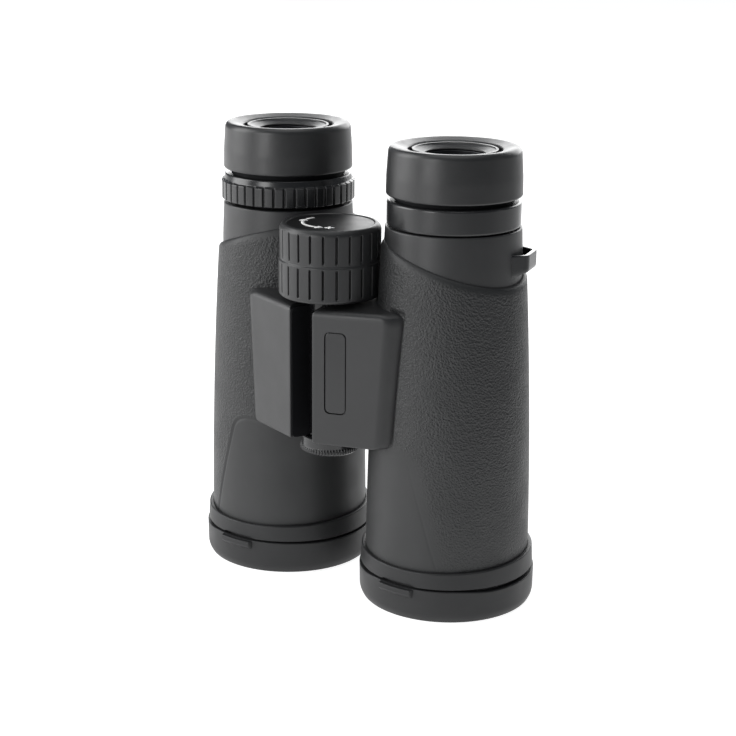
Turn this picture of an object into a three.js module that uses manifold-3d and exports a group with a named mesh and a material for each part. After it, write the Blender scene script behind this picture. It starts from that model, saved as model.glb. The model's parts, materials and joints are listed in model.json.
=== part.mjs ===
// A pair of 10x42 roof-prism binoculars standing on its closed objective lids.
//
// Millimetres. +Z runs up from the lids to the eyecups. -Y is the binoculars' top side, with the
// hinge and the focus knob. +X is the user's left barrel and -X the right one, which has the
// dioptre ring. The origin is on the floor, below the middle of the whole.

import * as THREE from 'three';
import { mergeVertices } from 'three/addons/utils/BufferGeometryUtils.js';
import Module from 'manifold-3d';

const wasm = await Module();
wasm.setup();

// ---- driving dimensions ----

const EYE_SPACING = 64.9; // between the two optical axes at rest
const HINGE_SETBACK = 19.3; // hinge axis in front of the plane of the optical axes
const GAP = 0.3; // left between neighbouring pieces
const ROUND = 24; // sides of a large round piece
const SMALL_ROUND = 16; // sides of a small round piece

const BARREL_BOTTOM = 7.6;
const ARMOR_THICKNESS = 1.5;
const ARMOR_TOP = 109; // the mean height of the armour's wavy upper edge
const ARMOR_WAVE_LOW = 103.8; // that edge at the outer side
const ARMOR_WAVE_RISE = 11.5; // how much it climbs towards the inner side
const NECK_TOP = 119.6;
const NECK_RADIUS = 20.9;

const OBJECTIVE_RADIUS = 21; // 42 mm free aperture
const BORE_RADIUS = 18.9; // inside the housing above the objective
const FOCUS_CELL_HEIGHT = 66; // where the focusing lens stands at rest
const FOCUS_TRAVEL = 3; // each way
const FOCUS_LENS_RADIUS = 14.2;
const ARM_HALF_WIDTH = 2; // the arm from the focusing nut to the lens's cell
const ARM_HALF_HEIGHT = 1.5;
const ARM_CLEARANCE = 0.6;
const NUT_GROOVE_RADIUS = 4.6;

const BRIDGE_BOTTOM = 52.3;
const BRIDGE_TOP = 94.8;
const HINGE_TUBE_RADIUS = 8;
const HINGE_CHAMBER_RADIUS = 6.7; // inside the hinge tube, where the focus nut travels
const KNUCKLE_BORE = 6.2;
const KNUCKLE_HEIGHT = 4;

const SCREW_RADIUS = 2; // the focus screw
const TRIPOD_BORE = 3.2; // quarter-inch tripod thread

const KNOB_BOTTOM = 96.6;
const KNOB_HEIGHT = 22.8;
const KNOB_RADIUS = 16;
const KNOB_RIBS = 24;

const COLLAR_BOTTOM = 120;
const COLLAR_TOP = 127.7;
const COLLAR_RADIUS = 20.5;
const DIOPTER_RADIUS = 21.6;
const DIOPTER_TOP = 129;
const DIOPTER_RIBS = 40;

const EYECUP_HEIGHT = 15.6;
const EYECUP_RADIUS = 20.8;
const EYECUP_RIM_HOLE = 14.2;
const GUIDE_RADIUS = 18;
const EYEPIECE_BORE = 14.6; // room for the ocular barrel inside the guide tube and the cam ring

const LID_HEIGHT = 10.5;
const LID_RADIUS = 27.9;
const LID_WALL = 1.5;
const LID_FLOOR = 2.2;
const COVER_RING_RADIUS = 27.5;
const COVER_RING_BOTTOM = 10.9;
const LID_PIN_SETBACK = 29.4; // lid hinge axis behind the optical axis
const LID_PIN_HEIGHT = 11.5;
const LID_KNUCKLE_RADIUS = 1.6;

const HALF_SPACING = EYE_SPACING / 2;
const BACK_REACH = LID_PIN_SETBACK + LID_KNUCKLE_RADIUS;
const BARREL_Y = (HINGE_SETBACK + KNOB_RADIUS - BACK_REACH) / 2; // puts the whole evenly about y = 0
const HINGE_Y = BARREL_Y - HINGE_SETBACK;
const HINGE_REACH = Math.hypot(HALF_SPACING, HINGE_SETBACK); // from the hinge to an optical axis
const HINGE_ANGLE = Math.atan2(HINGE_SETBACK, HALF_SPACING);

const LEFT = { name: 'left', sign: 1, eyecupBottom: 128.3 };
const RIGHT = { name: 'right', sign: -1, eyecupBottom: 129.8 };

// ---- materials ----

const paint = (color, roughness, metalness = 0) => ({ color, roughness, metalness });

const RUBBER = paint(0x2b2b2c, 0.75);
const SATIN_PLASTIC = paint(0x222324, 0.45);
const GLOSS_BLACK = paint(0x08080a, 0.15);
const HOUSING = paint(0x262728, 0.5);
const SOFT_RUBBER = paint(0x262626, 0.7);
const ANODISED = paint(0x1a1a1c, 0.35, 0.6);
const STEEL = paint(0x8c8e90, 0.3, 1);
const BRASS = paint(0xa98a4a, 0.35, 1);
const GLASS = paint(0x9fb4c8, 0.05);
const COATED_GLASS = paint(0x5a6f9a, 0.05);

const group = new THREE.Group();

/** Adds a named piece to the object, in the frame of the object or at a barrel's optical axis. */
function addPiece(name, geometry, finish, x = 0, y = 0) {
  const mesh = new THREE.Mesh(geometry, new THREE.MeshStandardMaterial(finish));
  mesh.name = name;
  mesh.position.set(x, y, 0);
  group.add(mesh);
}

/** Adds a piece that is modelled about its barrel's optical axis. */
function addToBarrel(side, name, geometry, finish) {
  addPiece(`${side.name}_${name}`, geometry, finish, side.sign * HALF_SPACING, BARREL_Y);
}

/** Adds a piece that is modelled about the central hinge's axis. */
function addToHinge(name, geometry, finish) {
  addPiece(name, geometry, finish, 0, HINGE_Y);
}

// ---- shape helpers ----

/** Turns an outline of [radius, height] points about Z. It goes up the outside, down the inside. */
function turned(outline, sides = ROUND) {
  const points = outline.map(([radius, height]) => new THREE.Vector2(radius, height));
  return new THREE.LatheGeometry(points, sides).rotateX(Math.PI / 2);
}

/** A solid disc or rod from one height to another. */
function rod(radius, bottom, top, sides = ROUND) {
  return turned([[0, bottom], [radius, bottom], [radius, top], [0, top]], sides);
}

/** A ring with a straight wall. */
function ring(inner, outer, bottom, top, sides = ROUND) {
  return turned([[inner, bottom], [outer, bottom], [outer, top], [inner, top], [inner, bottom]], sides);
}

/** A rod along X, centred on x = 0. */
function crossRod(radius, length, y, z) {
  return rod(radius, -length / 2, length / 2, SMALL_ROUND).rotateY(Math.PI / 2).translate(0, y, z);
}

/** A box between two corners. */
function block(low, high) {
  const size = high.map((value, axis) => value - low[axis]);
  const middle = high.map((value, axis) => (value + low[axis]) / 2);
  return new THREE.BoxGeometry(...size).translate(...middle);
}

/** An outline of [x, y] points extruded from one height to another. */
function prism(outline, bottom, top) {
  const shape = new THREE.Shape(outline.map(([x, y]) => new THREE.Vector2(x, y)));
  const depth = top - bottom;
  return new THREE.ExtrudeGeometry(shape, { depth, bevelEnabled: false }).translate(0, 0, bottom);
}

/** The outline of a wheel with evenly spaced ribs. */
function ribbedOutline(count, tipRadius, footRadius) {
  const outline = [];
  for (let rib = 0; rib < count; rib += 1) {
    for (const [share, radius] of [[0, footRadius], [0.2, tipRadius], [0.8, tipRadius]]) {
      const angle = (2 * Math.PI * (rib + share)) / count;
      outline.push([radius * Math.cos(angle), radius * Math.sin(angle)]);
    }
  }
  return outline;
}

/** A closed mesh as a solid for cutting and joining. */
function asSolid(geometry) {
  const bare = geometry.clone();
  bare.deleteAttribute('normal');
  bare.deleteAttribute('uv');
  const merged = mergeVertices(bare);
  const triangles = [];
  for (let i = 0; i < merged.index.count; i += 3) {
    const corners = [0, 1, 2].map((step) => merged.index.getX(i + step));
    if (new Set(corners).size === 3) triangles.push(...corners);
  }
  return new wasm.Manifold(new wasm.Mesh({
    numProp: 3,
    vertProperties: merged.attributes.position.array,
    triVerts: Uint32Array.from(triangles),
  }));
}

function asGeometry(solid) {
  const mesh = solid.getMesh();
  const geometry = new THREE.BufferGeometry();
  geometry.setAttribute('position', new THREE.BufferAttribute(mesh.vertProperties, 3));
  geometry.setIndex(new THREE.BufferAttribute(mesh.triVerts, 1));
  geometry.computeVertexNormals();
  return geometry;
}

const cut = (geometry, ...tools) => asGeometry(
  tools.reduce((solid, tool) => solid.subtract(asSolid(tool)), asSolid(geometry)),
);

const join = (geometry, ...others) => asGeometry(
  others.reduce((solid, other) => solid.add(asSolid(other)), asSolid(geometry)),
);

// ---- outer profile of a barrel ----

/** The armour's radius at a height: a slow swell from the neck down to the objective. */
const armorRadius = (height) => 25.95 - 0.00031 * Math.max(0, height - 4) ** 2;

const housingRadius = (height) => armorRadius(height) - ARMOR_THICKNESS - GAP;

/** Heights from one level to another in equal steps. */
const levels = (from, to, steps) => Array.from(
  { length: steps + 1 },
  (_, i) => from + ((to - from) * i) / steps,
);

// ---- barrels ----

/** The wavy height of the armour's upper edge at an angle from the barrel's outer side. */
function armorEdge(angle) {
  const share = Math.min(1, Math.abs(angle) / (Math.PI * 5 / 6));
  return ARMOR_WAVE_LOW + ARMOR_WAVE_RISE * share * share * (3 - 2 * share);
}

/** Moves a shape that is modelled about the hinge axis into a barrel's own frame. */
const atBarrel = (side, geometry) => geometry.translate(-side.sign * HALF_SPACING, -HINGE_SETBACK, 0);

/** The hollow that each barrel leaves for the focus knob. */
const knobRelief = (side) => atBarrel(side, rod(KNOB_RADIUS + 0.7, BRIDGE_TOP + GAP, NECK_TOP + 1));

function makeArmor(side) {
  const outside = levels(BARREL_BOTTOM, ARMOR_TOP, 5).map((z) => [armorRadius(z), z]);
  const inside = levels(ARMOR_TOP, BARREL_BOTTOM, 3).map((z) => [
    Math.max(housingRadius(z), NECK_RADIUS) + GAP, z,
  ]);
  const shell = turned([...outside, ...inside, outside[0]]);
  const places = shell.attributes.position;
  const fixedBelow = 88;
  for (let i = 0; i < places.count; i += 1) {
    const height = places.getZ(i);
    if (height > fixedBelow) {
      const angle = Math.atan2(places.getY(i), side.sign * places.getX(i));
      const stretch = (armorEdge(angle) - fixedBelow) / (ARMOR_TOP - fixedBelow);
      places.setZ(i, fixedBelow + (height - fixedBelow) * stretch);
    }
  }
  return cut(shell, atBarrel(side, bridgeBlank(side, GAP)), knobRelief(side));
}

/** The slot through the inner wall that the focusing lens's arm travels in. */
function armSlot(clearance) {
  const halfWidth = ARM_HALF_WIDTH + clearance;
  const halfHeight = ARM_HALF_HEIGHT + FOCUS_TRAVEL + clearance;
  const slot = block([-HINGE_REACH, -halfWidth, -halfHeight], [-10, halfWidth, halfHeight]);
  return slot.rotateZ(HINGE_ANGLE).translate(0, 0, FOCUS_CELL_HEIGHT);
}

/** Turns a shape that points from the left barrel to the hinge so that it does so from either barrel. */
const towardsHinge = (side, geometry) => (
  side.sign > 0 ? geometry : geometry.rotateZ(Math.PI - 2 * HINGE_ANGLE)
);

function makeHousing(side) {
  const seat = 24; // height of the shoulder above the objective
  const outside = levels(BARREL_BOTTOM, 96, 3).map((z) => [housingRadius(z), z]);
  const outline = [
    ...outside,
    [NECK_RADIUS, 100],
    [NECK_RADIUS, NECK_TOP],
    [GUIDE_RADIUS - 1.5, NECK_TOP],
    [GUIDE_RADIUS - 1.5, 109.5],
    [BORE_RADIUS, 109.5],
    [BORE_RADIUS, seat],
    [OBJECTIVE_RADIUS + GAP, seat],
    [OBJECTIVE_RADIUS + GAP, BARREL_BOTTOM],
    outside[0],
  ];
  return cut(turned(outline), towardsHinge(side, armSlot(ARM_CLEARANCE)), knobRelief(side));
}

function makeObjectiveLens() {
  return turned([
    [0, 14.4], [12, 15.2], [OBJECTIVE_RADIUS - 0.2, 17.2],
    [OBJECTIVE_RADIUS - 0.2, 20.5], [12, 21.6], [0, 22],
  ], ROUND);
}

/** The focusing lens's cell, with the arm that reaches to the nut on the hinge axis. */
function makeFocusCell(side) {
  const cellHalf = 3;
  const [cellBottom, cellTop] = [FOCUS_CELL_HEIGHT - cellHalf, FOCUS_CELL_HEIGHT + cellHalf];
  const cell = ring(FOCUS_LENS_RADIUS + 0.4, BORE_RADIUS - 0.6, cellBottom, cellTop);
  const arm = block(
    [NUT_GROOVE_RADIUS + 0.6 - HINGE_REACH, -ARM_HALF_WIDTH, -ARM_HALF_HEIGHT],
    [2.5 - BORE_RADIUS, ARM_HALF_WIDTH, ARM_HALF_HEIGHT],
  );
  const placed = arm.rotateZ(HINGE_ANGLE).translate(0, 0, FOCUS_CELL_HEIGHT);
  return join(cell, towardsHinge(side, placed));
}

function makeFocusLens() {
  const middle = FOCUS_CELL_HEIGHT;
  return turned([
    [0, middle - 1], [FOCUS_LENS_RADIUS, middle - 2.4], [FOCUS_LENS_RADIUS, middle + 2.4], [0, middle + 1],
  ], SMALL_ROUND);
}

const PRISM_BOTTOM = 76;
const PRISM_TOP = 104;
const PRISM_HALF_WIDTH = 10;

function makePrismCage() {
  const cage = rod(BORE_RADIUS - 0.6, PRISM_BOTTOM, PRISM_TOP);
  const room = PRISM_HALF_WIDTH + 1.2;
  return cut(cage, block([-room, -room, PRISM_BOTTOM - 1], [room, room, PRISM_TOP + 1]));
}

/** A glass prism whose side outline is given as [y, z] points. */
function sidewaysPrism(outline) {
  const glass = prism(outline, -PRISM_HALF_WIDTH, PRISM_HALF_WIDTH);
  return glass.rotateX(Math.PI / 2).rotateZ(Math.PI / 2);
}

function makeHalfPentaPrism() {
  const low = PRISM_BOTTOM + 1;
  return sidewaysPrism([[-10, low], [10, low], [10, low + 3], [-4, low + 12.5], [-10, low + 9]]);
}

function makeRoofPrism() {
  const low = PRISM_BOTTOM + 6;
  const high = PRISM_TOP - 1;
  return sidewaysPrism([[10, low], [10, high], [-10, high], [-10, high - 4], [-6, low + 10]]);
}

// ---- eyepieces ----

/** The fixed tube that the eyecup climbs on. */
function makeGuideTube(side) {
  const top = ocularTop(side) - 0.7;
  const foot = NECK_TOP - 7;
  const spigot = GUIDE_RADIUS - 1.9;
  const inside = GUIDE_RADIUS - 1.1;
  const seat = NECK_TOP + GAP;
  const ledge = NECK_TOP + 3;
  return turned([
    [EYEPIECE_BORE, foot], [spigot, foot], [spigot, seat], [GUIDE_RADIUS, seat], [GUIDE_RADIUS, top],
    [inside, top], [inside, ledge], [EYEPIECE_BORE, ledge], [EYEPIECE_BORE, foot],
  ]);
}

const OCULAR_RADIUS = 13.1;
const EYE_LENS_HOLE = 9.2;

/** The top of the fixed ocular barrel, a little below the eyecup's rim. */
const ocularTop = (side) => side.eyecupBottom + EYECUP_HEIGHT - 3.1;

function makeOcularBarrel(side) {
  const top = ocularTop(side);
  const lip = top - 3.2;
  const foot = 112;
  const footRadius = 13.9;
  const shoulder = 127;
  const inside = 11;
  return turned([
    [inside, foot], [footRadius, foot], [footRadius, shoulder], [OCULAR_RADIUS, shoulder],
    [OCULAR_RADIUS, top], [EYE_LENS_HOLE, top], [EYE_LENS_HOLE, lip], [inside - 0.6, lip],
    [inside - 0.6, 121], [inside, 121], [inside, foot],
  ], SMALL_ROUND);
}

/** The conical ring that frames the eye lens. */
function makeOcularRing(side) {
  const bottom = ocularTop(side) + GAP;
  return turned([
    [EYE_LENS_HOLE, bottom], [OCULAR_RADIUS, bottom], [OCULAR_RADIUS, bottom + 1.8],
    [OCULAR_RADIUS - 0.7, bottom + 1.8], [EYE_LENS_HOLE, bottom + 0.5], [EYE_LENS_HOLE, bottom],
  ], SMALL_ROUND);
}

function makeEyeLens(side) {
  const top = ocularTop(side) - 3.5;
  return turned([[0, top - 3.6], [10, top - 2.8], [10, top - 0.6], [0, top - 0.1]], SMALL_ROUND);
}

function makeFieldLens() {
  return turned([[0, 113], [10.6, 114.2], [10.6, 117], [0, 118.6]], SMALL_ROUND);
}

function makeCollar() {
  const bore = GUIDE_RADIUS + GAP;
  const chamfer = 0.4;
  return turned([
    [bore, COLLAR_BOTTOM], [COLLAR_RADIUS, COLLAR_BOTTOM], [COLLAR_RADIUS, COLLAR_TOP - chamfer],
    [COLLAR_RADIUS - chamfer, COLLAR_TOP], [bore, COLLAR_TOP], [bore, COLLAR_BOTTOM],
  ]);
}

/** The ribbed ring that sets the dioptre correction. */
function makeDiopterRing() {
  const bottom = COLLAR_BOTTOM + GAP;
  const shoulder = DIOPTER_TOP - 2.1;
  const foot = DIOPTER_RADIUS - 0.6;
  const ribbed = prism(ribbedOutline(DIOPTER_RIBS, DIOPTER_RADIUS, foot), bottom, shoulder);
  const top = turned([
    [0, shoulder - 1], [foot - 0.2, shoulder - 1], [foot - 0.2, shoulder], [foot - 0.6, DIOPTER_TOP],
    [0, DIOPTER_TOP],
  ]);
  return cut(join(ribbed, top), rod(GUIDE_RADIUS + GAP, bottom - 1, DIOPTER_TOP + 1));
}

/** The twist-up eyecup: a soft skirt with a wide rounded rim. */
function makeEyecup(side) {
  const bottom = side.eyecupBottom;
  const top = bottom + EYECUP_HEIGHT;
  const bore = GUIDE_RADIUS + 0.35;
  const rimDepth = 3.2;
  return turned([
    [bore, bottom], [EYECUP_RADIUS - 0.3, bottom], [EYECUP_RADIUS, bottom + 0.5],
    [EYECUP_RADIUS - 0.4, bottom + 9.6], [EYECUP_RADIUS - 1, top - 1.1], [EYECUP_RADIUS - 2.4, top],
    [EYECUP_RIM_HOLE + 0.8, top], [EYECUP_RIM_HOLE, top - 0.8], [EYECUP_RIM_HOLE, top - rimDepth],
    [bore, top - rimDepth], [bore, bottom],
  ]);
}

/** The cam ring inside the eyecup, which the twist turns. */
function makeEyecupCam(side) {
  const bottom = side.eyecupBottom - 2;
  return ring(EYEPIECE_BORE, GUIDE_RADIUS - 1.5, bottom, bottom + 7);
}

// ---- strap lugs, objective rings and lids ----

const LUG_TURN = Math.PI * 16 / 180; // from the barrel's outer side towards the back
const LUG_REACH = 24.8; // the bar's outer face, from the optical axis
const LUG_BAND = 1.3;
const LUG_BOTTOM = 107.5; // of the bar
const LUG_FOOT_BOTTOM = 106.7;
const LUG_TOP = 112.7;

/** The lug's outline, drawn in by a band: a bar between two legs that spread towards the neck. */
function lugOutline(side, band) {
  const foot = 17;
  const middle = 1.7 * side.sign;
  const halfBar = 5.1 - band * 0.55;
  const halfFoot = 9.7 - band * 1.15;
  return [
    [foot, middle - halfFoot], [LUG_REACH - band, middle - halfBar],
    [LUG_REACH - band, middle + halfBar], [foot, middle + halfFoot],
  ];
}

/** A loop for the neck strap: an outer bar on two legs that stand on the neck, with a rising lower edge. */
function makeStrapLug(side) {
  const loop = prism(lugOutline(side, 0), LUG_FOOT_BOTTOM, LUG_TOP);
  const slot = prism(lugOutline(side, LUG_BAND), LUG_FOOT_BOTTOM - 1, LUG_TOP + 1);
  const beyond = LUG_REACH + 1;
  const below = LUG_FOOT_BOTTOM - 1;
  const chamfer = prism([
    [NECK_RADIUS, below], [beyond, below], [beyond, LUG_BOTTOM + 0.2], [NECK_RADIUS, LUG_FOOT_BOTTOM],
  ], -15, 15).rotateX(Math.PI / 2);
  const lug = cut(loop, slot, chamfer, rod(NECK_RADIUS + GAP, 90, 130));
  return lug.rotateZ(side.sign > 0 ? LUG_TURN : Math.PI - LUG_TURN);
}

/** The rubber ring round the barrel's end. Its upper edge is lower at the front. */
function makeCoverRing() {
  const bottom = COVER_RING_BOTTOM;
  const top = 17.7;
  const bore = armorRadius(bottom) + GAP;
  const band = turned([
    [bore, bottom], [COVER_RING_RADIUS, bottom], [COVER_RING_RADIUS - 0.2, top - 0.5],
    [COVER_RING_RADIUS - 0.6, top], [bore, top], [bore, bottom],
  ]);
  const places = band.attributes.position;
  for (let i = 0; i < places.count; i += 1) {
    const towardsFront = 0.5 - 0.5 * (places.getY(i) / COVER_RING_RADIUS);
    if (places.getZ(i) > bottom + 1) places.setZ(i, places.getZ(i) - 1.8 * towardsFront);
  }
  const ears = crossRod(LID_KNUCKLE_RADIUS, 12, LID_PIN_SETBACK, LID_PIN_HEIGHT);
  const web = block([-6, 26.6, LID_PIN_HEIGHT - 0.4], [6, LID_PIN_SETBACK, LID_PIN_HEIGHT + 1.5]);
  const middleGap = block([-3.3, 27.55, 8], [3.3, 34, 15]);
  const pinHole = crossRod(1.1, 14, LID_PIN_SETBACK, LID_PIN_HEIGHT);
  return cut(join(band, ears, web), middleGap, pinHole);
}

/** A flip-down lid: a shallow cup with a pull tab at the front and a knuckle at the back. */
function makeLid() {
  const inner = LID_RADIUS - LID_WALL;
  const cup = turned([
    [0, 0], [LID_RADIUS - 1, 0], [LID_RADIUS - 0.2, 0.8], [LID_RADIUS, LID_HEIGHT], [inner, LID_HEIGHT],
    [inner, LID_FLOOR], [0, LID_FLOOR],
  ]);
  const tab = block([-6.3, -29, 8.6], [6.3, -27, LID_HEIGHT]);
  const knuckle = crossRod(LID_KNUCKLE_RADIUS, 6, LID_PIN_SETBACK, LID_PIN_HEIGHT);
  const web = block([-3, 26.8, 8.2], [3, LID_PIN_SETBACK + 0.6, LID_HEIGHT]);
  const pinHole = crossRod(1.1, 14, LID_PIN_SETBACK, LID_PIN_HEIGHT);
  return cut(join(cup, tab, knuckle, web), pinHole);
}

// ---- bridge and central hinge ----

const BRIDGE_HALF_GAP = 4.28; // from the hinge axis to a half's inner wall
const FACE_INNER_END = [5.2, -14.8]; // the sloping front face, about the hinge axis
const FACE_OUTER_END = [27.3, -7.3];
const FACE_ANGLE = Math.atan2(
  FACE_OUTER_END[1] - FACE_INNER_END[1],
  FACE_OUTER_END[0] - FACE_INNER_END[0],
);

/** The raw block of a bridge half about the hinge axis, widened by a clearance. */
function bridgeBlank(side, clearance) {
  const wall = BRIDGE_HALF_GAP - clearance;
  const [innerX, innerY] = FACE_INNER_END;
  const [outerX, outerY] = FACE_OUTER_END;
  const outline = [
    [wall, innerY + 0.5 - clearance], [innerX, innerY - clearance], [outerX, outerY - clearance],
    [outerX + 1.4, outerY + 1.5 - clearance], [30, 2], [20, 12], [wall, 10.5 + clearance],
  ];
  const placed = outline.map(([x, y]) => [side.sign * x, y]);
  return prism(placed, BRIDGE_BOTTOM - clearance, BRIDGE_TOP + clearance);
}

const INLAY_HALF_LENGTH = 12.6;
const INLAY_HALF_WIDTH = 3.2;
const INLAY_MIDDLE = (BRIDGE_BOTTOM + BRIDGE_TOP) / 2 + 2;

/** A rounded plate lying in the left half's front face. */
function inlayPlate(clearance, thickness) {
  const halfWidth = INLAY_HALF_WIDTH + clearance;
  const halfLength = INLAY_HALF_LENGTH + clearance;
  const corner = 1.6;
  const shape = new THREE.Shape();
  shape.moveTo(-halfWidth + corner, -halfLength);
  for (const [x, y, start] of [[1, -1, -0.5], [1, 1, 0], [-1, 1, 0.5], [-1, -1, 1]]) {
    const middle = [x * (halfWidth - corner), y * (halfLength - corner)];
    shape.absarc(...middle, corner, start * Math.PI, (start + 0.5) * Math.PI);
  }
  const options = { depth: thickness, bevelEnabled: false, curveSegments: 3 };
  const plate = new THREE.ExtrudeGeometry(shape, options);
  const along = 6.5;
  plate.translate(along, 0, 0).rotateX(Math.PI / 2).translate(0, 0, INLAY_MIDDLE).rotateZ(FACE_ANGLE);
  return plate.translate(...FACE_INNER_END, 0);
}

/** A bridge half, hollowed for its barrel, for the hinge tube and for the focusing arm. */
function makeBridgeHalf(side, boreBottom, boreTop) {
  const barrelAxis = [side.sign * HALF_SPACING, HINGE_SETBACK, 0];
  const [below, above] = [40, 110];
  const wall = levels(below, above, 4).map((z) => [housingRadius(z) + GAP, z]);
  const seat = turned([[0, below], ...wall, [0, above]]).translate(...barrelAxis);
  const bore = rod(HINGE_TUBE_RADIUS + GAP, boreBottom, boreTop);
  const slot = towardsHinge(side, armSlot(ARM_CLEARANCE)).translate(...barrelAxis);
  return cut(bridgeBlank(side, 0), seat, bore, slot);
}

/** The left half is fixed to the hinge tube and carries the inlay's pocket. */
function makeLeftBridge() {
  const pocket = inlayPlate(0.3, 1.6).translate(-0.2, 0.58, 0);
  return cut(makeBridgeHalf(LEFT, BRIDGE_BOTTOM - 1, BRIDGE_TOP + 1), pocket);
}

/** The right half turns on the tube's two ends with a knuckle at its bottom and one at its top. */
function makeRightBridge() {
  const lowerTop = BRIDGE_BOTTOM + KNUCKLE_HEIGHT;
  const upperBottom = BRIDGE_TOP - KNUCKLE_HEIGHT;
  const half = makeBridgeHalf(RIGHT, lowerTop, upperBottom);
  const lower = rod(HINGE_TUBE_RADIUS, BRIDGE_BOTTOM, lowerTop);
  const upper = rod(HINGE_TUBE_RADIUS, upperBottom, BRIDGE_TOP);
  return cut(join(half, lower, upper), rod(KNUCKLE_BORE, BRIDGE_BOTTOM - 1, BRIDGE_TOP + 1));
}

/** The window in the hinge tube that lets an arm through, over the arm's swing. */
function armWindow(fromDegrees, toDegrees) {
  const reach = 14;
  const halfHeight = ARM_HALF_HEIGHT + FOCUS_TRAVEL + ARM_CLEARANCE;
  const outline = [[0, 0]];
  for (const share of levels(0, 1, 4)) {
    const angle = THREE.MathUtils.degToRad(fromDegrees + (toDegrees - fromDegrees) * share);
    outline.push([reach * Math.cos(angle), reach * Math.sin(angle)]);
  }
  return prism(outline, FOCUS_CELL_HEIGHT - halfHeight, FOCUS_CELL_HEIGHT + halfHeight);
}

/** The hinge tube: full width between the knuckles, with slimmer ends inside them. */
function makeHingeTube() {
  const journal = KNUCKLE_BORE - GAP;
  const neck = journal - 1;
  const bottom = BRIDGE_BOTTOM;
  const shoulderLow = BRIDGE_BOTTOM + KNUCKLE_HEIGHT + GAP;
  const shoulderHigh = BRIDGE_TOP - KNUCKLE_HEIGHT - GAP;
  const chamberHigh = shoulderHigh - 1.5;
  const chamberLow = shoulderLow + 0.8;
  const tube = turned([
    [neck, bottom], [journal, bottom], [journal, shoulderLow], [HINGE_TUBE_RADIUS, shoulderLow],
    [HINGE_TUBE_RADIUS, shoulderHigh], [journal, shoulderHigh], [journal, BRIDGE_TOP], [neck, BRIDGE_TOP],
    [neck, chamberHigh], [HINGE_CHAMBER_RADIUS, chamberHigh], [HINGE_CHAMBER_RADIUS, chamberLow],
    [neck, chamberLow], [neck, bottom],
  ]);
  const armAngle = THREE.MathUtils.radToDeg(HINGE_ANGLE);
  const leftWindow = armWindow(armAngle - 22, armAngle + 22);
  const rightWindow = armWindow(136 - armAngle, 234 - armAngle);
  return cut(tube, leftWindow, rightWindow);
}

function makeFocusNut() {
  const bottom = FOCUS_CELL_HEIGHT - 5;
  const top = FOCUS_CELL_HEIGHT + 5;
  const grooveBottom = FOCUS_CELL_HEIGHT - ARM_HALF_HEIGHT - 0.5;
  const grooveTop = FOCUS_CELL_HEIGHT + ARM_HALF_HEIGHT + 0.5;
  const radius = HINGE_CHAMBER_RADIUS - 0.5;
  const hole = SCREW_RADIUS + 0.4;
  return turned([
    [hole, bottom], [radius, bottom], [radius, grooveBottom], [NUT_GROOVE_RADIUS, grooveBottom],
    [NUT_GROOVE_RADIUS, grooveTop], [radius, grooveTop], [radius, top], [hole, top], [hole, bottom],
  ], SMALL_ROUND);
}

function makeFocusScrew() {
  return rod(SCREW_RADIUS, FOCUS_CELL_HEIGHT - 9, KNOB_BOTTOM + 2.5, 12);
}

/** The bearing that the focus screw turns in, at the top of the hinge tube. */
function makeScrewBearing() {
  return ring(SCREW_RADIUS + 0.4, KNUCKLE_BORE - 1.6, BRIDGE_TOP - 5, BRIDGE_TOP - 1, SMALL_ROUND);
}

/** The bush with the tripod thread, in the bottom of the hinge tube. */
function makeTripodBush() {
  const bottom = BRIDGE_BOTTOM - 1;
  const top = BRIDGE_BOTTOM + 3.9;
  const floor = top - 1.2;
  const radius = KNUCKLE_BORE - 1.6;
  return turned([
    [TRIPOD_BORE, bottom], [radius, bottom], [radius, top], [0, top], [0, floor], [TRIPOD_BORE, floor],
    [TRIPOD_BORE, bottom],
  ], SMALL_ROUND);
}

/** The knurled screw cap over the tripod socket. */
function makeTripodCap() {
  const bottom = 45.8;
  const top = BRIDGE_BOTTOM - 0.5;
  const disc = prism(ribbedOutline(KNOB_RIBS, 9.5, 9.1), bottom, top);
  return cut(disc, rod(KNUCKLE_BORE - 1, top - 1.2, top + 1, SMALL_ROUND));
}

// ---- focus knob ----

const KNOB_TOP = KNOB_BOTTOM + KNOB_HEIGHT;
const KNOB_CORE_RADIUS = 14.1;
const KNOB_CAP_RADIUS = 13.2;

/** The knob's core, with a recess for the cap above and a socket for the screw below. */
function makeKnobCore() {
  const socket = SCREW_RADIUS + 0.4;
  const rim = KNOB_TOP - 0.4;
  const recess = KNOB_TOP - 2.4;
  const recessRadius = KNOB_CAP_RADIUS + GAP;
  return turned([
    [socket, KNOB_BOTTOM], [KNOB_CORE_RADIUS, KNOB_BOTTOM], [KNOB_CORE_RADIUS, rim], [recessRadius, rim],
    [recessRadius, recess], [0, recess], [0, KNOB_BOTTOM + 3], [socket, KNOB_BOTTOM + 3],
    [socket, KNOB_BOTTOM],
  ]);
}

/** The ribbed rubber sleeve: two rows of ribs and a plain band between them. */
function makeKnobGrip() {
  const bottom = KNOB_BOTTOM + 0.3;
  const foot = KNOB_RADIUS - 0.8;
  const lowerRibs = ribbedOutline(KNOB_RIBS, KNOB_RADIUS, foot);
  const upperRibs = ribbedOutline(KNOB_RIBS, KNOB_RADIUS - 0.2, foot - 0.2);
  const lower = prism(lowerRibs, bottom + 1.6, KNOB_BOTTOM + 10.8);
  const upper = prism(upperRibs, KNOB_BOTTOM + 12.4, KNOB_TOP - 2.4);
  const body = turned([
    [0, bottom], [foot, bottom], [foot - 0.3, KNOB_TOP - 1.2], [foot - 0.8, KNOB_TOP], [0, KNOB_TOP],
  ]);
  return cut(join(body, lower, upper), rod(KNOB_CORE_RADIUS + GAP, bottom - 1, KNOB_TOP + 1));
}

function makeKnobCap() {
  return rod(KNOB_CAP_RADIUS, KNOB_TOP - 2.1, KNOB_TOP - 0.5);
}

// ---- assembly ----

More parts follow.
